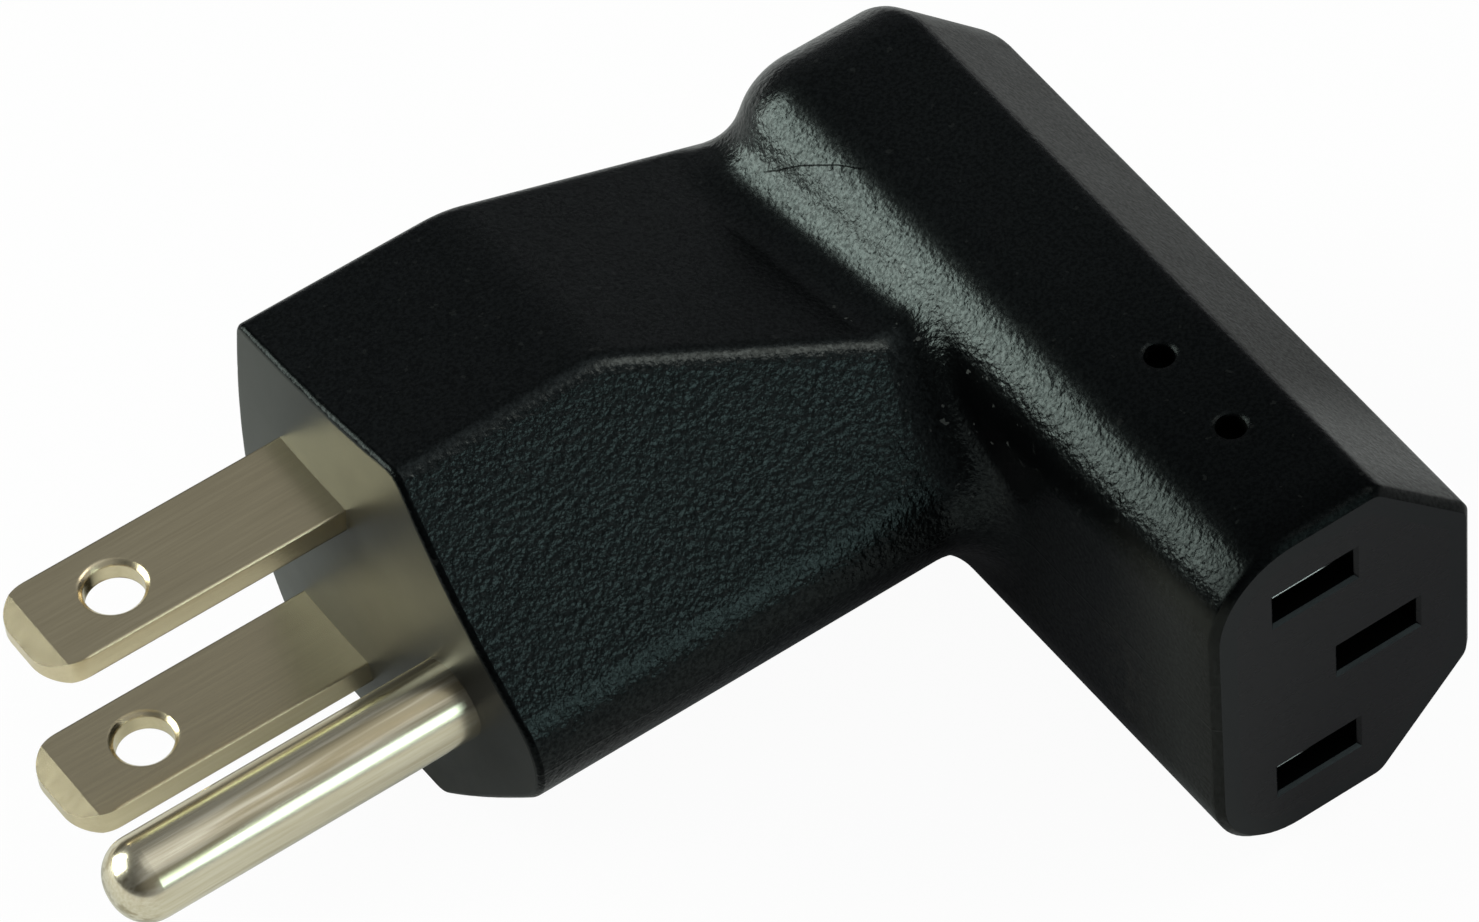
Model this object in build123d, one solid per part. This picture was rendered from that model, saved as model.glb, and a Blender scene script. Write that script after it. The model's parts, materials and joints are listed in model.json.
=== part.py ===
from build123d import *
import math
import os

# Right-angle mains adapter: a three-pin plug on one end, a three-slot outlet on the other.
# Millimetres. The origin is on the plug face, midway between the two flat blades.
# The blades point to -X, the outlet faces -Y, and Z is the direction of the blade spacing.
# Both mould halves are alike, so everything is symmetric about the parting plane Z = 0.

# Plug interface
BLADE_WIDTH = 6.35
BLADE_THICK = 1.52
BLADE_PITCH = 12.7
BLADE_REACH = 17.8
BLADE_TIP_ROUND = 2.2
BLADE_TIP_BEVEL = 1.2
BLADE_TIP_DROP = 0.38
BLADE_HOLE_DIA = 3.3
BLADE_HOLE_RIM = 0.25
BLADE_HOLE_BACK = 12.0
PIN_DIA = 4.78
PIN_OFFSET = 11.87
PIN_REACH = 20.7
PIN_DOME = 2.1

# Metalwork inside the plug head
TAIL_WIDTH = 3.2
TAIL_STEP = 6.2
COLLAR_DIA = 5.8
COLLAR_THICK = 1.6
CRIMP_START = 8.6
CRIMP_LENGTH = 4.0
CRIMP_WALL = 0.5
CRIMP_BORE_DEPTH = 3.4

# Plug head and neck
HEAD_HALF = 13.4
HEAD_TILT = 6.0
FACE_CROWN_LONG = 170.0
FACE_CROWN_WIDE = 80.0
RIDGE_Y = -7.5
CREASE_X = 14.0
CREASE_ROUND = 8.0
NECK_SLOPE = 19.8
NOSE_ROUND = 4.5
RIDGE_ROUND = 1.6
FACE_EDGE_ROUND = 0.4
HEAD_BACK_ROUND = 0.8
BACK_Y = 7.7
NECK_FILLET = 3.4

# Outlet barrel
OUTLET_X = 36.8
OUTLET_Y = -38.3
OUTLET_HALF = 11.75
OUTLET_PLUG_SIDE = 6.55
OUTLET_OUTER_SIDE = 10.15
OUTLET_CHAMFER = 5.95
BARREL_TAPER = 0.9
BARREL_ROUND = 5.2
BACK_CUT = 0.2
CHAMFER_EDGE_ROUND = 1.4
MOUTH_EDGE_BREAK = 0.4

# Outlet slots
SLOT_PITCH = 14.0
EARTH_SLOT_OFFSET = 4.0
SLOT_WIDTH = 5.2
SLOT_HEIGHT = 2.2
SLOT_BEVEL = 0.2

# Locating holes left by the mould's core pins
LOCATOR_DIA = 1.7
LOCATOR_X = 0.8
LOCATOR_FIRST = 8.0
LOCATOR_STEP = 6.1

# Hard inner blocks
BRIDGE_WALL = 3.0
BRIDGE_FRONT = 2.4
BRIDGE_BACK = 7.6
CORE_WALL = 1.5
CORE_LENGTH = 19.0
CORE_FRONT_WALL = 2.2
CHAMBER_WIDTH = 6.2
CHAMBER_HEIGHT = 3.7
CAP_THICK = 2.2

# Spring contacts
CONTACT_SHEET = 0.4
CONTACT_WIDTH = 4.8
CONTACT_GAP = 1.5
CONTACT_MOUTH = 2.6
CONTACT_ROOT = 2.2
CONTACT_CLEAR = 0.5
CONTACT_PINCH = 3.2

# Leads
WIRE_DIA = 1.2
SLEEVE_DIA = 2.4
LEAD_STRAIGHT = 4.0
LEAD_TURN_Y = -1.0
LEAD_TURN_Z = 3.4
LEAD_ENTRY = 5.0
EARTH_BEND_X = 26.0
EARTH_TURN_Y = -4.5

# Values worked out from the sizes above
CRIMP_ACROSS = WIRE_DIA + 2 * CRIMP_WALL
CRIMP_END = CRIMP_START + CRIMP_LENGTH
BLADE_Z = BLADE_PITCH / 2
SLOT_Z = SLOT_PITCH / 2
EARTH_X = OUTLET_X + EARTH_SLOT_OFFSET
CORE_BACK = OUTLET_Y + CORE_LENGTH
CAP_BACK = CORE_BACK + CAP_THICK
CONTACT_BACK = CAP_BACK + CRIMP_LENGTH / 2
CHAMFER_SUM = HEAD_HALF - RIDGE_Y
FAR_OUT = 60.0


def polygon(plane, *points):
    """A flat face through points given in a plane's own axes."""
    return make_face(plane * Polyline(*points, close=True))


def keep_below(solid, origin, normal):
    """The piece of a solid on the inner side of a plane."""
    return split(solid, bisect_by=Plane(origin, z_dir=normal), keep=Keep.BOTTOM)


def both_halves(upper):
    """A solid made of its upper half and that half's mirror image."""
    return upper + mirror(upper, about=Plane.XY)


def leaning(angle):
    """Sideways step for one step of height at a draft angle."""
    return math.tan(math.radians(angle))


def head_outline(wall):
    """Upper half of the plug head's end view, open behind and above, set in by a wall."""
    far = FAR_OUT / 2
    round_ = max(NOSE_ROUND - wall, 0.3)
    total = CHAMFER_SUM - wall * math.sqrt(2)
    nose_y = round_ * math.sqrt(2) - total
    flank = round_ * math.sqrt(0.5)
    middle = math.radians(22.5)
    nose_mid = (nose_y - round_ * math.cos(middle), round_ * math.sin(middle))
    edges = Polyline((nose_y - round_, 0), (far, 0), (far, far), (far - total, far),
                     (nose_y - flank, flank))
    nose = ThreePointArc((nose_y - flank, flank), nose_mid, (nose_y - round_, 0))
    return Plane.YZ * make_face(edges + nose)


def head_side(wall, length):
    """Upper side view of head and neck, drawn across Y to a rounded back and leaned about the ridge."""
    height = HEAD_HALF - wall
    drop = leaning(NECK_SLOPE) * (length - CREASE_X)
    roof = FilletPolyline((-BRIDGE_WALL, height), (CREASE_X, height), (length, height - drop),
                          radius=CREASE_ROUND)
    floor = Polyline((length, height - drop), (length, -height), (-BRIDGE_WALL, -height),
                     (-BRIDGE_WALL, height))
    side = extrude(Plane.XZ * make_face(roof + floor), amount=FAR_OUT, both=True)
    side = side.rotate(Axis((0, RIDGE_Y, height), (1, 0, 0)), -HEAD_TILT)
    side = keep_below(side, (0, BACK_Y - wall, 0), (0, 1, 0))
    top_edges = [e for e in side.faces().sort_by(Axis.Y)[-1].edges() if e.center().Z > 0
                 and abs(e.tangent_at(0.5).X) > 0.5]
    return fillet(top_edges, HEAD_BACK_ROUND)


def make_head():
    """Plug head and sloping neck with a slightly crowned plug face, running on into the barrel."""
    upper = extrude(head_outline(0), amount=OUTLET_X) & head_side(0, OUTLET_X)
    crown = Pos(FACE_CROWN_LONG, 0, 0) * Torus(FACE_CROWN_LONG - FACE_CROWN_WIDE, FACE_CROWN_WIDE)
    head = both_halves(upper) & crown
    on_ridge = [e for e in head.edges()
                if abs(abs(e.center().Z) - e.center().Y - CHAMFER_SUM) < RIDGE_ROUND / 4
                and abs(e.tangent_at(0.5).X) > 0.5 and abs(e.center().Z) > NOSE_ROUND]
    head = fillet(on_ridge, RIDGE_ROUND)
    face = head.faces().sort_by(Axis.X)[0]
    return fillet(face.edges(), FACE_EDGE_ROUND)


def outlet_face(y, wall):
    """The outlet's end view at one depth, set in from the outside by a wall."""
    left = OUTLET_X - OUTLET_PLUG_SIDE + wall
    right = OUTLET_X + OUTLET_OUTER_SIDE - wall
    half = OUTLET_HALF - wall
    cut = OUTLET_CHAMFER - wall * (2 - math.sqrt(2))
    plane = Plane(origin=(0, y, 0), x_dir=(1, 0, 0), z_dir=(0, -1, 0))
    return polygon(plane, (left, -half), (right - cut, -half), (right, cut - half),
                   (right, half - cut), (right - cut, half), (left, half))


def make_barrel():
    """The outlet barrel: rounded plug side and back, chamfered outer side, soft mouth edge."""
    left = OUTLET_X - OUTLET_PLUG_SIDE
    right = OUTLET_X + OUTLET_OUTER_SIDE
    rear = BACK_Y + BACK_CUT
    widening = leaning(BARREL_TAPER)
    plan = polygon(Plane.XY, (left, OUTLET_Y), (right, OUTLET_Y),
                   (right + widening * (rear - OUTLET_Y), rear), (left, rear))
    upper = extrude(plan, amount=OUTLET_HALF)
    upper = keep_below(upper, (right - OUTLET_CHAMFER, OUTLET_Y, OUTLET_HALF), (1, -widening, 1))
    plug_side = upper.edges().filter_by(Axis.Y).group_by(Axis.X)[0].sort_by(Axis.Z)[-1]
    back_edges = upper.faces().sort_by(Axis.Y)[-1].edges().sort_by(Axis.Z)[1:]
    barrel = both_halves(fillet([plug_side] + list(back_edges), BARREL_ROUND))
    barrel = keep_below(barrel, (0, BACK_Y, 0), (0, 1, 0))
    corners = [e for e in barrel.edges() if abs(e.tangent_at(0.5).Y) > 0.9
               and e.length > CORE_LENGTH and e.center().X > OUTLET_X]
    barrel = fillet(corners, CHAMFER_EDGE_ROUND)
    return chamfer(barrel.faces().sort_by(Axis.Y)[0].edges(), MOUTH_EDGE_BREAK)


def make_outside():
    """Outer shape of the moulded body; the neck's fillet stays within the step up to the barrel's top."""
    head = make_head()
    barrel = make_barrel()
    outside = head + barrel
    step = OUTLET_HALF - HEAD_HALF + leaning(NECK_SLOPE) * (OUTLET_X - OUTLET_PLUG_SIDE - CREASE_X)
    return fillet(new_edges(head, barrel, combined=outside), min(NECK_FILLET, step))


def rod(diameter, start, direction, length):
    """A round bar from a start point along a direction."""
    return extrude(Plane(origin=start, z_dir=direction) * Circle(diameter / 2), amount=length)


def make_blade(bored):
    """The upper blade: bevelled tip, cross hole, and a tail rolled into a crimp barrel."""
    half = BLADE_THICK / 2
    flat = extrude(Rectangle(BLADE_REACH + TAIL_STEP, BLADE_WIDTH), amount=half, both=True)
    flat = Pos((TAIL_STEP - BLADE_REACH) / 2, 0, 0) * flat
    corners = flat.edges().filter_by(Axis.Z).group_by(Axis.X)[0]
    flat = fillet(corners, BLADE_TIP_ROUND)
    flat -= Pos(-BLADE_HOLE_BACK, 0, 0) * Cylinder(BLADE_HOLE_DIA / 2, BLADE_THICK)
    rims = [e for e in flat.edges().filter_by(GeomType.CIRCLE)
            if abs(e.radius - BLADE_HOLE_DIA / 2) < 0.01]
    flat = chamfer(rims, BLADE_HOLE_RIM)
    for side in (1, -1):
        flat = keep_below(flat, (-BLADE_REACH, 0, side * (half - BLADE_TIP_DROP)),
                          (-BLADE_TIP_DROP, 0, side * BLADE_TIP_BEVEL))
    tail = Box(CRIMP_START - TAIL_STEP, TAIL_WIDTH, BLADE_THICK,
               align=(Align.MIN, Align.CENTER, Align.CENTER))
    blade = flat + Pos(TAIL_STEP, 0, 0) * tail + make_crimp((CRIMP_START, 0, 0), (1, 0, 0), bored)
    return Pos(0, 0, BLADE_Z) * blade


def hex_bar(start, direction, length):
    """A six-sided bar with the outside size of a crimp."""
    section = RegularPolygon(CRIMP_ACROSS / 2, 6, major_radius=False)
    return extrude(Plane(origin=start, z_dir=direction) * section, amount=length)


def make_crimp(start, direction, bored, length=CRIMP_LENGTH):
    """A six-sided crimp that takes a bare conductor from behind."""
    crimp = hex_bar(start, direction, length)
    if bored:
        mouth = Vector(*start) + Vector(*direction) * (length - CRIMP_BORE_DEPTH)
        crimp -= rod(WIRE_DIA, mouth, direction, CRIMP_BORE_DEPTH)
    return crimp


def make_pin(bored):
    """The earth pin: domed tip, anchoring collar and crimp barrel."""
    along = (1, 0, 0)
    shank = rod(PIN_DIA, (-PIN_REACH, 0, 0), along, PIN_REACH + TAIL_STEP)
    shank = fillet(shank.edges().sort_by(Axis.X)[0], PIN_DOME)
    collar = rod(COLLAR_DIA, ((BRIDGE_FRONT + BRIDGE_BACK - COLLAR_THICK) / 2, 0, 0), along,
                 COLLAR_THICK)
    tail = rod(TAIL_WIDTH, (TAIL_STEP, 0, 0), along, CRIMP_START - TAIL_STEP)
    pin = shank + collar + tail + make_crimp((CRIMP_START, 0, 0), along, bored)
    return Pos(0, -PIN_OFFSET, 0) * pin


def make_bridge_block():
    """Uncut block that holds blades and pin at their spacing, set in from the plug head."""
    upper = extrude(head_outline(BRIDGE_WALL), amount=BRIDGE_BACK) & head_side(BRIDGE_WALL, OUTLET_X)
    return keep_below(both_halves(upper), (BRIDGE_FRONT, 0, 0), (-1, 0, 0))


def at_slots(piece):
    """Copies of a piece drawn at the origin, one at each outlet slot."""
    return [Pos(OUTLET_X, 0, SLOT_Z) * piece, Pos(OUTLET_X, 0, -SLOT_Z) * piece,
            Pos(EARTH_X, 0, 0) * piece]


def across_y(width, height, start, end):
    """A rectangular bar along Y between two depths, centred on X = Z = 0."""
    bar = Box(width, end - start, height, align=(Align.CENTER, Align.MIN, Align.CENTER))
    return Pos(0, start, 0) * bar


def make_core_block(start, end):
    """Uncut block of the outlet's inner outline between two depths."""
    block = extrude(outlet_face(start, CORE_WALL), amount=start - end)
    plug_side = [e for e in block.edges().filter_by(Axis.Y) if e.center().X < OUTLET_X]
    return fillet(plug_side, BARREL_ROUND - CORE_WALL)


def make_core():
    """The hard block of the outlet, with a bevelled slot and a chamber for each contact."""
    inner = OUTLET_Y + CORE_FRONT_WALL
    core = make_core_block(OUTLET_Y, CORE_BACK)
    core -= at_slots(across_y(SLOT_WIDTH, SLOT_HEIGHT, OUTLET_Y, inner))
    core = chamfer([e for e in core.faces().sort_by(Axis.Y)[0].inner_wires().edges()], SLOT_BEVEL)
    return core - at_slots(across_y(CHAMBER_WIDTH, CHAMBER_HEIGHT, inner, CORE_BACK))


def make_contact(bored):
    """A folded spring strip: two leaves that pinch a blade, joined by a web with a crimp barrel."""
    mouth = OUTLET_Y + CORE_FRONT_WALL + CONTACT_CLEAR
    pinch = mouth + CONTACT_PINCH
    web = CORE_BACK - CONTACT_CLEAR
    bare = [(mouth, CONTACT_MOUTH / 2), (pinch, CONTACT_GAP / 2), (web - CONTACT_SHEET, CONTACT_ROOT / 2)]
    clad = [(mouth, CONTACT_MOUTH / 2 + CONTACT_SHEET), (pinch, CONTACT_GAP / 2 + CONTACT_SHEET),
            (web, CONTACT_ROOT / 2 + CONTACT_SHEET)]
    lower = [(y, -z) for y, z in bare[::-1]] + [(y, -z) for y, z in clad]
    strip = extrude(polygon(Plane.YZ, *bare, *lower, *clad[::-1]), amount=CONTACT_WIDTH / 2, both=True)
    return strip + make_crimp((0, web, 0), (0, 1, 0), bored, CONTACT_BACK - web)


def lead_points(into_crimp):
    """Corner points of the upper lead, from its blade's crimp to its contact's crimp."""
    return [(CRIMP_END - into_crimp, 0, BLADE_Z),
            (CRIMP_END + LEAD_STRAIGHT, 0, BLADE_Z),
            (OUTLET_X, LEAD_TURN_Y, LEAD_TURN_Z),
            (OUTLET_X, CONTACT_BACK + LEAD_ENTRY, SLOT_Z),
            (OUTLET_X, CONTACT_BACK - into_crimp, SLOT_Z)]


def earth_points(into_crimp):
    """Corner points of the earth lead."""
    return [(CRIMP_END - into_crimp, -PIN_OFFSET, 0),
            (EARTH_BEND_X, -PIN_OFFSET, 0),
            (EARTH_X, EARTH_TURN_Y, 0),
            (EARTH_X, CONTACT_BACK - into_crimp, 0)]


def along_path(section, points):
    """A section drawn along straight runs that meet in mitred bends."""
    corners = [Vector(*p) for p in points]
    runs = [(b - a).normalized() for a, b in zip(corners, corners[1:])]
    mitres = [runs[0]] + [(a + b).normalized() for a, b in zip(runs, runs[1:])] + [runs[-1]]
    pieces = []
    for i, run in enumerate(runs):
        start = corners[i] - run * SLEEVE_DIA
        length = (corners[i + 1] - corners[i]).length + 2 * SLEEVE_DIA
        piece = extrude(Plane(origin=start, z_dir=run) * section, amount=length)
        piece = keep_below(piece, corners[i], mitres[i] * -1)
        pieces.append(keep_below(piece, corners[i + 1], mitres[i + 1]))
    return Part() + pieces


def make_body(fillings):
    """The moulded body around everything that was in the mould."""
    body = make_outside() - fillings
    for step in (0, 1):
        y = OUTLET_Y + LOCATOR_FIRST + step * LOCATOR_STEP
        start = OUTLET_HALF - CORE_WALL
        for side in (1, -1):
            body -= rod(LOCATOR_DIA, (OUTLET_X + LOCATOR_X, y, side * start), (0, 0, side), CORE_WALL)
    return body


def below(piece):
    """The mirror image of a piece on the other side of the parting plane."""
    return mirror(piece, about=Plane.XY)


def make_nodes():
    """Every separate piece of the adapter by name."""
    blade = make_blade(True)
    solid_blade = make_blade(False)
    solid_pin = make_pin(False)
    neutral_contact, line_contact, earth_contact = at_slots(make_contact(True))
    wire = Circle(WIRE_DIA / 2)
    cover = Circle(SLEEVE_DIA / 2)
    lead_wire = along_path(wire, lead_points(CRIMP_BORE_DEPTH))
    lead_sleeve = along_path(cover - wire, lead_points(0))
    lead_cover = along_path(cover, lead_points(0))
    bridge_block = make_bridge_block()
    crimps = at_slots(hex_bar((0, CORE_BACK, 0), (0, 1, 0), CONTACT_BACK - CORE_BACK))
    plug_metal = [solid_pin, solid_blade, below(solid_blade)]
    leads = [lead_cover, below(lead_cover), along_path(cover, earth_points(0))]
    fillings = [bridge_block, make_core_block(OUTLET_Y, CAP_BACK)] + plug_metal + crimps + leads
    return {
        "moulded_body": make_body(fillings),
        "plug_bridge": bridge_block - plug_metal,
        "neutral_blade": blade,
        "line_blade": below(blade),
        "earth_pin": make_pin(True),
        "socket_core": make_core(),
        "socket_rear_cap": make_core_block(CORE_BACK, CAP_BACK) - crimps,
        "neutral_contact": neutral_contact,
        "line_contact": line_contact,
        "earth_contact": earth_contact,
        "neutral_wire": lead_wire,
        "line_wire": below(lead_wire),
        "earth_wire": along_path(wire, earth_points(CRIMP_BORE_DEPTH)),
        "neutral_insulation": lead_sleeve,
        "line_insulation": below(lead_sleeve),
        "earth_insulation": along_path(cover - wire, earth_points(0)),
    }


if __name__ == "__main__":
    os.makedirs("parts", exist_ok=True)
    for name, solid in make_nodes().items():
        export_step(solid, f"parts/{name}.step")
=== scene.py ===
import json
import math
import bpy
from mathutils import Matrix, Vector


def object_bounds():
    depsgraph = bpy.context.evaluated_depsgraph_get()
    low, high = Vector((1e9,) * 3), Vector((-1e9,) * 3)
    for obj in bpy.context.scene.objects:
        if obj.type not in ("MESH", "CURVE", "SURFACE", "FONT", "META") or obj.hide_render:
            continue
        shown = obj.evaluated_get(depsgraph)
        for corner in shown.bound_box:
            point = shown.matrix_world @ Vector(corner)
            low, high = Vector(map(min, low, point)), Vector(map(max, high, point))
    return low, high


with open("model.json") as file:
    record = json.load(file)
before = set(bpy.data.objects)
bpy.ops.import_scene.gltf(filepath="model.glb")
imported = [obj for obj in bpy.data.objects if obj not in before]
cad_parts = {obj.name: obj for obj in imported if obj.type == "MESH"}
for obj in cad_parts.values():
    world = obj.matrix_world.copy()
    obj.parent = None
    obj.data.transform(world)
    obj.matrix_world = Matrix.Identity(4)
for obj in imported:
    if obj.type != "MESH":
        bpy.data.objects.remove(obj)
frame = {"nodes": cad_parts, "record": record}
start_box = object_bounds()
nodes = frame["nodes"]

MM = 0.001
MM_IN_A_METRE = 1000

# Places on the object, in millimetres in its own frame
OUTLET_X = 36.8
OUTLET_Y = start_box[0][1] / MM
SLOT_Z = 7.0
SLOT_HALF_WIDTH = 2.6
SLOT_HALF_HEIGHT = 1.1
PARTING_Z = 0.0
HAIR_X = 31.25
HAIR_SLANT = 0.56
HAIR_WAVER = 0.25
HAIR_ENDS = (-4.2, 1.9)
HAIR_TAPER = 0.8
NECK_CORNER_X = 29.5
NECK_CORNER_Y = -15.0
SMUDGE_Y = -33.0
SMUDGE_Z = -3.0

# Stretches along one axis over which a mask grows from none to full, in millimetres
FACE_X = (4.0, 2.0)
FACE_EDGE_X = (4.0, 3.0)
BLADE_TIP_X = (-15.0, -16.0)
SMUDGE_X = (32.0, 31.0)
MOUTH_Y = (OUTLET_Y + 0.9, OUTLET_Y + 0.4)
MOUTH_SHADE_Y = (OUTLET_Y + 0.5, OUTLET_Y + 3.5)
IN_SLOT_Y = (OUTLET_Y + 0.05, OUTLET_Y + 0.4)
HAZE_Y = (-28.0, -35.5)
FACE_PAINTED_LIGHT_Y = (-8.0, 6.0)
SHINE_Y = (-36.0, -8.0)
DULL_SIDE_Y = (-36.0, -26.0)
HAIR_Z = (7.5, 8.5)
CORNER_Z = (0.0, 3.0)

# Noise: waves in a millimetre, and how fine and how strong the smaller waves are
CLOUD = {"scale": 0.35, "detail": 4.0, "roughness": 0.65}
GRAIN = {"scale": 2.6, "detail": 1.8, "roughness": 0.6}
SPECKS = {"scale": 1.7}
SMEAR = {"scale": 0.9, "detail": 4.0, "roughness": 0.7}
SPARKLE = {"scale": 4.5, "roughness": 0.7}
WAVER = {"scale": 0.6}
SCUFF = {"scale": 1.4, "stretch": (0.25, 1, 1.6), "detail": 5.0, "roughness": 0.7}
DRAWN_LINES = {"scale": 3.0, "stretch": (0.05, 1.6, 1.6), "detail": 4.0, "roughness": 0.7}
# Stains, and on the pin painted dark reflection streaks along its length
STAIN_AND_REFLECTION_STREAKS = {"scale": 0.9, "stretch": (0.04, 1, 1), "detail": 3.0, "roughness": 0.6}
FAINT_CLOUD = {"scale": 0.8, "detail": 3.0}
PAPER_CLOUD = {"scale": 0.004}

# Colours, the darker one first where there are two
VINYL_TONES = ((0.0004, 0.0005, 0.0006), (0.0010, 0.0011, 0.0012))
HAZE_TONES = ((0.008, 0.008, 0.007), (0.014, 0.014, 0.012))
# Painted light on the plug face, the darker tone towards -Y and the lighter one towards +Y
FACE_PAINTED_LIGHT_TONES = ((0.004, 0.004, 0.004), (0.030, 0.031, 0.028))
SPECK_TONE = (0.090, 0.095, 0.090)
SMUDGE_TONE = (0.030, 0.027, 0.022)
VINYL_SHEEN = (0.84, 1.0, 0.98, 1)
MOUTH_TONE = (0.0014, 0.0016, 0.0026)
# Painted shade: a darker tone for the walls inside the slots
IN_SLOT_PAINTED_SHADE = (0.0010, 0.0013, 0.0011)
# Painted highlights on two slots' lower walls, standing in for lit metal contact edges
NEUTRAL_SLOT_GLINT_PAINT = (0.40, 0.40, 0.38)
LINE_SLOT_GLINT_PAINT = (0.20, 0.20, 0.19)
PAPER_TONES = ((0.66, 0.66, 0.66), (0.68, 0.68, 0.68))
WHITE = (1, 1, 1, 1)

# Shares of the plating's dark tone that are left in stains and in painted dark reflection streaks
STAIN_AND_REFLECTION_SHARES = (0.52, 0.48, 0.38)

# Specular levels, the shares that the rim and the hair take away, and the share that the dull side keeps
SPARKLE_LEVELS = (0.11, 0.24)
FACE_LEVEL = 0.115
MOUTH_LEVEL = 0.14
IN_SLOT_LEVEL = 0.08
RIM_LOSS = 0.65
HAIR_LOSS = 0.9
DULL_SIDE_SHARE = 0.35

# Roughness of the body, and what clouds and the dull side add to it
VINYL_ROUGHNESS = 0.19
FACE_ROUGHNESS = 0.34
CLOUD_ROUGHNESS = 0.10
DULL_SIDE_ROUGHNESS = 0.12

# Rounding of edges in the shading, in millimetres
BODY_EDGE = 0.5
PLATED_EDGE = 0.22
EDGE_SAMPLES = 6

# The painted highlights on two slots' lower walls are metallic and take the light as if they leaned towards
# the front
PAINTED_GLINT_NORMAL = (0.0, -0.69, 0.72)

# Plated pieces by slot: dark tone, light tone, share of stain and painted dark reflection streaks, roughness
PLATED = {
    "plated_blade": ((0.67, 0.57, 0.375), (0.73, 0.63, 0.42), 0.05, 0.17),
    "plated_pin": ((0.62, 0.55, 0.39), (0.75, 0.69, 0.53), 0.75, 0.15),
}

# Inner pieces by slot: dark tone, light tone, roughness, metallic
INNER = {
    "bridge_plastic": ((0.020, 0.020, 0.021), (0.030, 0.030, 0.031), 0.40, 0.0),
    "spring_brass": ((0.55, 0.42, 0.18), (0.68, 0.54, 0.27), 0.30, 1.0),
    "copper": ((0.62, 0.30, 0.18), (0.75, 0.42, 0.27), 0.28, 1.0),
    "white_sleeve": ((0.72, 0.72, 0.70), (0.82, 0.82, 0.80), 0.35, 0.0),
    "black_sleeve": ((0.015, 0.015, 0.015), (0.03, 0.03, 0.03), 0.35, 0.0),
    "green_sleeve": ((0.03, 0.26, 0.08), (0.05, 0.36, 0.12), 0.35, 0.0),
}

# Camera fitted to the photo: angles in degrees, its place along its own axes and its lens in millimetres
CAMERA_TURN = -30.331
CAMERA_RISE = 49.815
CAMERA_ROLL = -6.060
EYE_RIGHT = 22.091
EYE_UP = 5.376
EYE_BACK = 437.665
SENSOR_WIDTH = 36.0
LENS = 201.57
NEAREST_SEEN = 10.0

# Lamps: direction from the object, side in metres, brightness of the surface, colour
LAMPS = {
    "box_back_left": ((-0.64, 0.64, 0.42), 0.58, 9.2, (0.93, 1.0, 0.93)),
    "box_front_low": ((0.34, -0.88, 0.34), 0.34, 2.4, (0.74, 1.0, 0.99)),
    "box_over_ridge": ((0.61, -0.22, 0.76), 0.36, 3.9, (1.0, 0.92, 0.85)),
}

# How far the lamps stand in metres, and the watts of a square metre of lamp with a brightness of 1
LAMP_DISTANCE = 0.9
LAMP_POWER = 4

# Surroundings: base strength, and glows by direction, cosines where each starts and is full, strength
DIM_STRENGTH = 0.12
DIM_TINT = (0.96, 1.0, 1.04, 1)
GLOWS = (
    ((0.35, -0.74, 0.58), 0.2, 1.0, 0.28),
    ((0.33, 0.56, 0.76), 0.4, 1.0, 0.12),
    ((0.40, -0.15, 0.90), 0.80, 0.98, 0.46),
)

# Floor: half its side in metres, and its gap below the object in millimetres
FLOOR_HALF = 2.5
FLOOR_GAP = 0.02
FLOOR_ROUGHNESS = 0.9
PAPER_SHARE = 0.96

# Glow of the floor in mirrored rays, in millimetres: a middle, and the distances where it starts and is full
GLOW_MIDDLE_X = 24.0
GLOW_MIDDLE_Y = -12.0
GLOW_SPAN = (45.0, 110.0)
GLOW_SHARE = 0.3


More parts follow.
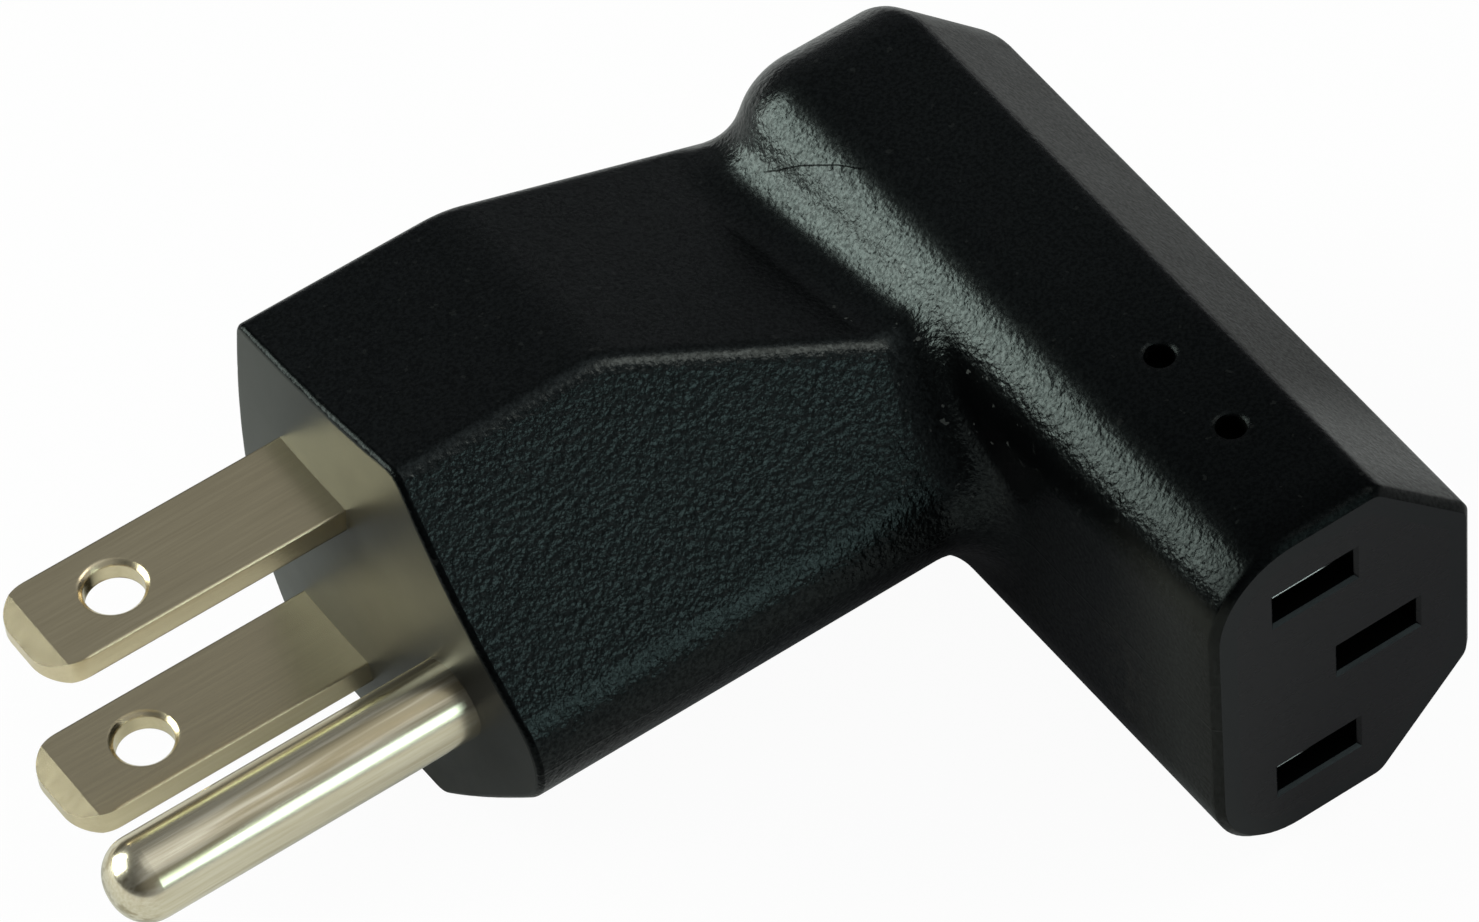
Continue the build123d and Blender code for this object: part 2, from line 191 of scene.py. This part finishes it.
class Nodes:
    """Short calls that add nodes to a tree and join them."""

    def __init__(self, tree):
        self.tree = tree
        tree.nodes.clear()

    def add(self, kind):
        return self.tree.nodes.new(kind)

    def join(self, a, b):
        self.tree.links.new(a, b)

    def put(self, socket, value):
        if isinstance(value, bpy.types.NodeSocket):
            self.join(value, socket)
        else:
            socket.default_value = value

    def parts(self, vector):
        node = self.add("ShaderNodeSeparateXYZ")
        self.join(vector, node.inputs[0])
        return node.outputs[0], node.outputs[1], node.outputs[2]

    def fixed_vector(self, numbers):
        node = self.add("ShaderNodeCombineXYZ")
        for socket, number in zip(node.inputs, numbers):
            socket.default_value = number
        return node.outputs[0]

    def scaled(self, vector, factors):
        node = self.add("ShaderNodeVectorMath")
        node.operation = "MULTIPLY"
        self.join(vector, node.inputs[0])
        node.inputs[1].default_value = factors
        return node.outputs[0]

    def dot(self, vector, direction):
        node = self.add("ShaderNodeVectorMath")
        node.operation = "DOT_PRODUCT"
        self.join(vector, node.inputs[0])
        node.inputs[1].default_value = Vector(direction).normalized()
        return node.outputs["Value"]

    def math(self, operation, *values):
        node = self.add("ShaderNodeMath")
        node.operation = operation
        for socket, value in zip(node.inputs, values):
            self.put(socket, value)
        return node.outputs[0]

    def product(self, first, *others):
        for other in others:
            first = self.math("MULTIPLY", first, other)
        return first

    def total(self, first, *others):
        for other in others:
            first = self.math("ADD", first, other)
        return first

    def all_but(self, mask):
        return self.math("SUBTRACT", 1.0, mask)

    def ramp(self, value, low, high, start=0.0, end=1.0):
        """start at low, end at high, and a smooth change between."""
        node = self.add("ShaderNodeMapRange")
        node.interpolation_type = "SMOOTHSTEP"
        self.put(node.inputs["Value"], value)
        for name, number in (("From Min", low), ("From Max", high), ("To Min", start), ("To Max", end)):
            self.put(node.inputs[name], number)
        return node.outputs[0]

    def between(self, mask, start, end):
        """start where the mask is 0, end where it is 1."""
        return self.ramp(mask, 0, 1, start, end)

    def near(self, value, middle, half, soft):
        """1 within half of the middle, falling to 0 over a soft edge."""
        off = self.math("ABSOLUTE", self.math("SUBTRACT", value, middle))
        return self.ramp(off, half + soft, half)

    def mix(self, factor, a, b):
        node = self.add("ShaderNodeMix")
        node.data_type = "RGBA"
        self.put(node.inputs["Factor"], factor)
        for socket, colour in ((node.inputs[6], a), (node.inputs[7], b)):
            self.put(socket, colour if isinstance(colour, bpy.types.NodeSocket) else (*colour, 1))
        return node.outputs[2]

    def mix_vector(self, factor, a, b):
        node = self.add("ShaderNodeMix")
        node.data_type = "VECTOR"
        self.put(node.inputs["Factor"], factor)
        self.join(a, node.inputs[4])
        self.join(b, node.inputs[5])
        return node.outputs[1]

    def blend(self, factor, first, second, target):
        """Join two shaders to the target, with the second one's share given by the factor."""
        node = self.add("ShaderNodeMixShader")
        for socket, source in zip(node.inputs, (factor, first, second)):
            self.join(source, socket)
        self.join(node.outputs[0], target)


class Shader(Nodes):
    """A material with one principled shader. Positions are in millimetres."""

    def __init__(self, name):
        self.mat = bpy.data.materials.new(name)
        self.mat.use_nodes = True
        super().__init__(self.mat.node_tree)
        self.out = self.add("ShaderNodeOutputMaterial")
        self.bsdf = self.add("ShaderNodeBsdfPrincipled")
        self.join(self.bsdf.outputs["BSDF"], self.out.inputs["Surface"])
        self.pos = self.scaled(self.add("ShaderNodeTexCoord").outputs["Object"], (MM_IN_A_METRE,) * 3)
        self.x, self.y, self.z = self.parts(self.pos)
        self.normal = self.add("ShaderNodeNewGeometry").outputs["Normal"]
        self.nx, self.ny, self.nz = self.parts(self.normal)

    def set(self, **values):
        for name, value in values.items():
            self.put(self.bsdf.inputs[name.replace("_", " ")], value)

    def noise(self, scale, stretch=(1, 1, 1), detail=2.0, roughness=0.5):
        node = self.add("ShaderNodeTexNoise")
        self.join(self.scaled(self.pos, stretch), node.inputs["Vector"])
        node.inputs["Scale"].default_value = scale
        node.inputs["Detail"].default_value = detail
        node.inputs["Roughness"].default_value = roughness
        return node.outputs["Fac"]

    def soft_edges(self, radius_mm):
        node = self.add("ShaderNodeBevel")
        node.samples = EDGE_SAMPLES
        node.inputs["Radius"].default_value = radius_mm * MM
        return node.outputs["Normal"]

    def bump(self, height, depth_mm, strength, normal=None):
        node = self.add("ShaderNodeBump")
        self.put(node.inputs["Height"], height)
        self.put(node.inputs["Strength"], strength)
        node.inputs["Distance"].default_value = depth_mm * MM
        if normal is not None:
            self.join(normal, node.inputs["Normal"])
        return node.outputs["Normal"]


class Body(Shader):
    """Black moulded vinyl with a spark-eroded grain, smooth on the plug face and at the mouth.

    A ramp over a part of the normal, such as self.nx, tells which way the surface faces.
    """

    def __init__(self):
        super().__init__("body_plastic")
        faces_wall = self.ramp(self.nx, -0.80, -0.96)
        faces_inlet = self.ramp(self.ny, -0.75, -0.97)
        faces_out = self.ramp(self.nx, 0.5, 0.65)
        self.face_edge = self.ramp(self.x, *FACE_EDGE_X)
        self.mouth_edge = self.ramp(self.y, *MOUTH_Y)
        self.plug_face = self.product(faces_wall, self.ramp(self.x, *FACE_X))
        self.mouth = self.product(faces_inlet, self.mouth_edge)
        self.grainy = self.product(self.all_but(self.plug_face), self.all_but(self.mouth))
        self.dull_side = self.product(faces_out, self.ramp(self.y, *DULL_SIDE_Y))
        self.cloud = self.noise(**CLOUD)
        self.set(Base_Color=self.tone(), Normal=self.grained(), Roughness=self.dullness(),
                 Specular_IOR_Level=self.shine(), Specular_Tint=VINYL_SHEEN)

    def tone(self):
        """Black, with what lies on it: specks, a smudge and a haze by the mouth, and painted light on the
        plug face that grows lighter towards +Y.
        """
        face_painted_light = self.mix(self.ramp(self.y, *FACE_PAINTED_LIGHT_Y), *FACE_PAINTED_LIGHT_TONES)
        tone = self.mix(self.cloud, *VINYL_TONES)
        tone = self.mix(self.specks(), tone, SPECK_TONE)
        tone = self.mix(self.smudge(), tone, SMUDGE_TONE)
        tone = self.mix(self.haze(), tone, self.mix(self.cloud, *HAZE_TONES))
        # Painted light on the plug face
        tone = self.mix(self.plug_face, tone, face_painted_light)
        return self.mix(self.mouth, tone, MOUTH_TONE)

    def specks(self):
        """Pale specks, most of them in the corner between neck and barrel."""
        corner = self.product(self.near(self.x, NECK_CORNER_X, half=2.0, soft=3.0),
                              self.near(self.y, NECK_CORNER_Y, half=4.0, soft=4.0),
                              self.ramp(self.z, *CORNER_Z))
        peaks = self.ramp(self.noise(**SPECKS), 0.68, 0.73)
        return self.product(peaks, self.between(corner, 0.05, 0.4), self.grainy)

    def smudge(self):
        """A brownish smudge on the barrel's side, near the mouth."""
        patches = self.ramp(self.noise(**SMEAR), 0.40, 0.70, start=0.0, end=0.35)
        return self.product(self.near(self.y, SMUDGE_Y, half=2.0, soft=4.0),
                            self.near(self.z, SMUDGE_Z, half=2.0, soft=4.0),
                            self.ramp(self.x, *SMUDGE_X), patches)

    def haze(self):
        """A pale haze on the barrel's side and the mouth's edge there, growing towards the mouth."""
        side = self.ramp(self.nx, -0.85, -0.95)
        edge = self.product(self.mouth_edge, self.ramp(self.nz, 0.5, 0.3), self.ramp(self.nx, 0.0, -0.2))
        return self.product(self.ramp(self.y, *HAZE_Y), self.math("MAXIMUM", side, edge))

    def grained(self):
        """Grain, weaker on top, on sides that face along X and at the mouth, and a faint parting seam."""
        left_on_top = self.ramp(self.nz, 0.80, 0.92, start=1.0, end=0.25)
        left_on_outer = self.ramp(self.nx, 0.4, 0.6, start=1.0, end=0.3)
        left_on_inner = self.ramp(self.nx, -0.80, -0.92, start=1.0, end=0.3)
        left_at_mouth = self.between(self.mouth_edge, 1.0, 0.1)
        left = self.product(left_on_top, left_on_outer, left_on_inner, left_at_mouth, self.grainy)
        seam = self.product(self.near(self.z, PARTING_Z, half=0.02, soft=0.08), self.grainy)
        crisp = self.math("MAXIMUM", self.ramp(self.ny, -0.90, -0.99), self.face_edge)
        normal = self.mix_vector(crisp, self.soft_edges(BODY_EDGE), self.normal)
        normal = self.bump(self.noise(**GRAIN), depth_mm=0.070, strength=left, normal=normal)
        return self.bump(seam, depth_mm=0.05, strength=0.25, normal=normal)

    def dullness(self):
        """Roughness, which is higher on the plug face and the dull side."""
        return self.total(self.between(self.plug_face, VINYL_ROUGHNESS, FACE_ROUGHNESS),
                          self.product(self.cloud, CLOUD_ROUGHNESS),
                          self.product(self.dull_side, DULL_SIDE_ROUGHNESS))

    def hair(self):
        """A thin hair mark across the barrel's rounded shoulder."""
        waver = self.product(self.math("SUBTRACT", self.noise(**WAVER), 0.5), HAIR_WAVER)
        across = self.total(self.x, self.product(self.y, HAIR_SLANT), waver)
        middle = sum(HAIR_ENDS) / 2
        reach = (HAIR_ENDS[1] - HAIR_ENDS[0]) / 2
        return self.product(self.near(across, HAIR_X, half=0.02, soft=0.05),
                            self.near(self.y, middle, half=reach - HAIR_TAPER, soft=HAIR_TAPER),
                            self.ramp(self.z, *HAIR_Z), HAIR_LOSS)

    def shine(self):
        """Specular level, which sparkles with the grain, fades to the mouth and dips at the face's rim."""
        sparkle = self.ramp(self.noise(**SPARKLE), 0.35, 0.65, *SPARKLE_LEVELS)
        fade = self.product(self.ramp(self.y, *SHINE_Y, start=0.56, end=1.05),
                            self.ramp(self.y, *MOUTH_SHADE_Y, start=0.5, end=1.0))
        level = self.total(self.product(sparkle, fade, self.grainy),
                           self.product(self.plug_face, FACE_LEVEL),
                           self.product(self.mouth, MOUTH_LEVEL))
        rim = self.product(self.ramp(self.nx, -0.10, -0.25), self.face_edge, self.grainy, RIM_LOSS)
        return self.product(level, self.all_but(self.hair()), self.all_but(rim),
                            self.between(self.dull_side, 1.0, DULL_SIDE_SHARE))


def painted_slot_glint(s, z, depth, reach):
    """Painted highlight on one slot's lower wall, at a depth behind the outlet's front, standing in for a
    lit metal contact edge.
    """
    end = OUTLET_X - SLOT_HALF_WIDTH + reach
    return s.product(s.near(s.z, z - SLOT_HALF_HEIGHT, half=0.05, soft=0.05),
                     s.near(s.y, OUTLET_Y + depth, half=0.06, soft=0.05),
                     s.ramp(s.x, end, end - 0.9), s.ramp(s.nz, 0.8, 0.9))


def core_material():
    """Hard black plastic, smooth, with a faint scuff, painted shade and less shine inside the slots, and
    painted highlights on two slots' lower walls.
    """
    s = Shader("core_plastic")
    scuff = s.noise(**SCUFF)
    inside = s.ramp(s.y, *IN_SLOT_Y)
    # Painted highlights on two slots' lower walls, metallic with a normal tilted to the front
    neutral_slot_painted_glint = painted_slot_glint(s, z=SLOT_Z, depth=1.60, reach=5.0)
    line_slot_painted_glint = painted_slot_glint(s, z=-SLOT_Z, depth=1.55, reach=3.2)
    painted_slot_glints = s.total(neutral_slot_painted_glint, line_slot_painted_glint)
    # Painted shade on the walls inside the slots
    tone = s.mix(inside, MOUTH_TONE, IN_SLOT_PAINTED_SHADE)
    tone = s.mix(neutral_slot_painted_glint, tone, NEUTRAL_SLOT_GLINT_PAINT)
    tone = s.mix(line_slot_painted_glint, tone, LINE_SLOT_GLINT_PAINT)
    scuffed = s.bump(scuff, depth_mm=0.01, strength=0.3)
    s.set(Base_Color=tone, Metallic=painted_slot_glints, Roughness=s.ramp(scuff, 0.35, 0.7, start=0.22, end=0.30),
          Specular_IOR_Level=s.between(inside, MOUTH_LEVEL, IN_SLOT_LEVEL),
          Normal=s.mix_vector(painted_slot_glints, scuffed, s.fixed_vector(PAINTED_GLINT_NORMAL)))
    return s.mat


def inner_material(name, dark, light, roughness, metallic):
    """Plain finish with a faint cloud, for pieces that show only inside the slots or not at all."""
    s = Shader(name)
    cloud = s.noise(**FAINT_CLOUD)
    s.set(Base_Color=s.mix(cloud, dark, light), Metallic=metallic,
          Roughness=s.ramp(cloud, 0.3, 0.7, start=roughness, end=roughness + 0.08))
    return s.mat


def plated_material(name, dark, light, stain_and_reflection_share, roughness):
    """Satin nickel plating with drawn lines along the length, and warm, uneven staining that on the pin also
    paints dark reflection streaks.
    """
    s = Shader(name)
    lines = s.noise(**DRAWN_LINES)
    # Stains, and on the pin painted dark reflection streaks
    stain_and_reflection_streaks = s.ramp(s.noise(**STAIN_AND_REFLECTION_STREAKS), 0.50, 0.62, start=0.0, end=stain_and_reflection_share)
    dull = [share * part for share, part in zip(STAIN_AND_REFLECTION_SHARES, dark)]
    tone = s.mix(s.ramp(lines, 0.3, 0.7), dark, light)
    tone = s.mix(stain_and_reflection_streaks, tone, dull)
    tip = s.ramp(s.x, *BLADE_TIP_X)
    smooth = s.mix_vector(tip, s.soft_edges(PLATED_EDGE), s.normal)
    s.set(Base_Color=tone, Metallic=1.0, Roughness=s.total(roughness, s.product(lines, 0.10)),
          Normal=s.bump(lines, depth_mm=0.006, strength=s.between(tip, 0.5, 0.05), normal=smooth))
    return s.mat


def paper_material():
    """Matt floor that the camera sees as white paper, and mirrored rays as a glow away from the object."""
    s = Shader("floor")
    s.set(Base_Color=s.mix(s.noise(**PAPER_CLOUD), *PAPER_TONES), Roughness=FLOOR_ROUGHNESS,
          Specular_IOR_Level=0.0)
    path = s.add("ShaderNodeLightPath")
    mirrored = s.total(path.outputs["Is Glossy Ray"], path.outputs["Is Transmission Ray"])
    off_x = s.math("SUBTRACT", s.x, GLOW_MIDDLE_X)
    off_y = s.math("SUBTRACT", s.y, GLOW_MIDDLE_Y)
    distance = s.math("SQRT", s.total(s.math("POWER", off_x, 2.0), s.math("POWER", off_y, 2.0)))
    away = s.ramp(distance, *GLOW_SPAN, start=0.0, end=GLOW_SHARE)
    shown = s.total(s.product(path.outputs["Is Camera Ray"], PAPER_SHARE), s.product(mirrored, away))
    paper = s.add("ShaderNodeEmission")
    s.blend(shown, s.bsdf.outputs["BSDF"], paper.outputs[0], s.out.inputs["Surface"])
    return s.mat


def dress():
    """Give each node its slot, and the material that has the slot's name."""
    looks = {"body_plastic": Body().mat, "core_plastic": core_material()}
    for name, finish in PLATED.items():
        looks[name] = plated_material(name, *finish)
    for name, finish in INNER.items():
        looks[name] = inner_material(name, *finish)
    slots = {part["node"]: part["material_slot"] for part in frame["record"]["subparts"]}
    for name, node in nodes.items():
        node.data.materials.clear()
        node.data.materials.append(looks[slots[name]])


def new_object(name, data):
    obj = bpy.data.objects.new(name, data)
    bpy.context.collection.objects.link(obj)
    return obj


def camera():
    """The camera that was fitted to the photo."""
    turn, rise, roll = (math.radians(angle) for angle in (CAMERA_TURN, CAMERA_RISE, CAMERA_ROLL))
    back = Vector((math.sin(turn) * math.cos(rise), -math.cos(turn) * math.cos(rise), math.sin(rise)))
    level = Vector((math.cos(turn), math.sin(turn), 0))
    upright = back.cross(level)
    right = level * math.cos(roll) + upright * math.sin(roll)
    up = upright * math.cos(roll) - level * math.sin(roll)
    data = bpy.data.cameras.new("camera")
    data.sensor_fit = "HORIZONTAL"
    data.sensor_width = SENSOR_WIDTH
    data.lens = LENS
    data.clip_start = NEAREST_SEEN * MM
    obj = new_object("camera", data)
    obj.matrix_world = Matrix((right, up, back)).transposed().to_4x4()
    obj.matrix_world.translation = (right * EYE_RIGHT + up * EYE_UP + back * EYE_BACK) * MM
    bpy.context.scene.camera = obj


def softbox(name, direction, size, brightness, colour):
    """A square lamp that faces the object, given by the brightness of its surface."""
    middle = (Vector(start_box[0]) + Vector(start_box[1])) / 2
    towards = Vector(direction).normalized()
    data = bpy.data.lights.new(name, "AREA")
    data.shape = "SQUARE"
    data.size = size
    data.energy = LAMP_POWER * brightness * size * size
    data.color = colour
    obj = new_object(name, data)
    obj.location = middle + towards * LAMP_DISTANCE
    obj.rotation_euler = towards.to_track_quat("Z", "Y").to_euler()


def make_floor():
    """A wide white floor just below the object."""
    low = start_box[0][2] - FLOOR_GAP * MM
    corners = [(x * FLOOR_HALF, y * FLOOR_HALF, low) for x, y in ((-1, -1), (1, -1), (1, 1), (-1, 1))]
    mesh = bpy.data.meshes.new("floor")
    mesh.from_pydata(corners, [], [(0, 1, 2, 3)])
    mesh.materials.append(paper_material())
    floor = new_object("floor", mesh)


def make_world():
    """Dim surroundings with three soft glows, white to the camera."""
    world = bpy.data.worlds.new("studio")
    bpy.context.scene.world = world
    world.use_nodes = True
    n = Nodes(world.node_tree)
    direction = n.add("ShaderNodeTexCoord").outputs["Generated"]
    glows = [n.ramp(n.dot(direction, middle), start, full, 0.0, strength)
             for middle, start, full, strength in GLOWS]
    dim = n.add("ShaderNodeBackground")
    dim.inputs["Color"].default_value = DIM_TINT
    n.join(n.total(*glows, DIM_STRENGTH), dim.inputs["Strength"])
    white = n.add("ShaderNodeBackground")
    white.inputs["Color"].default_value = WHITE
    to_camera = n.add("ShaderNodeLightPath").outputs["Is Camera Ray"]
    out = n.add("ShaderNodeOutputWorld")
    n.blend(to_camera, dim.outputs[0], white.outputs[0], out.inputs[0])


dress()
camera()
make_floor()
make_world()
for lamp, settings in LAMPS.items():
    softbox(lamp, *settings)
bpy.context.scene.view_settings.view_transform = "Standard"
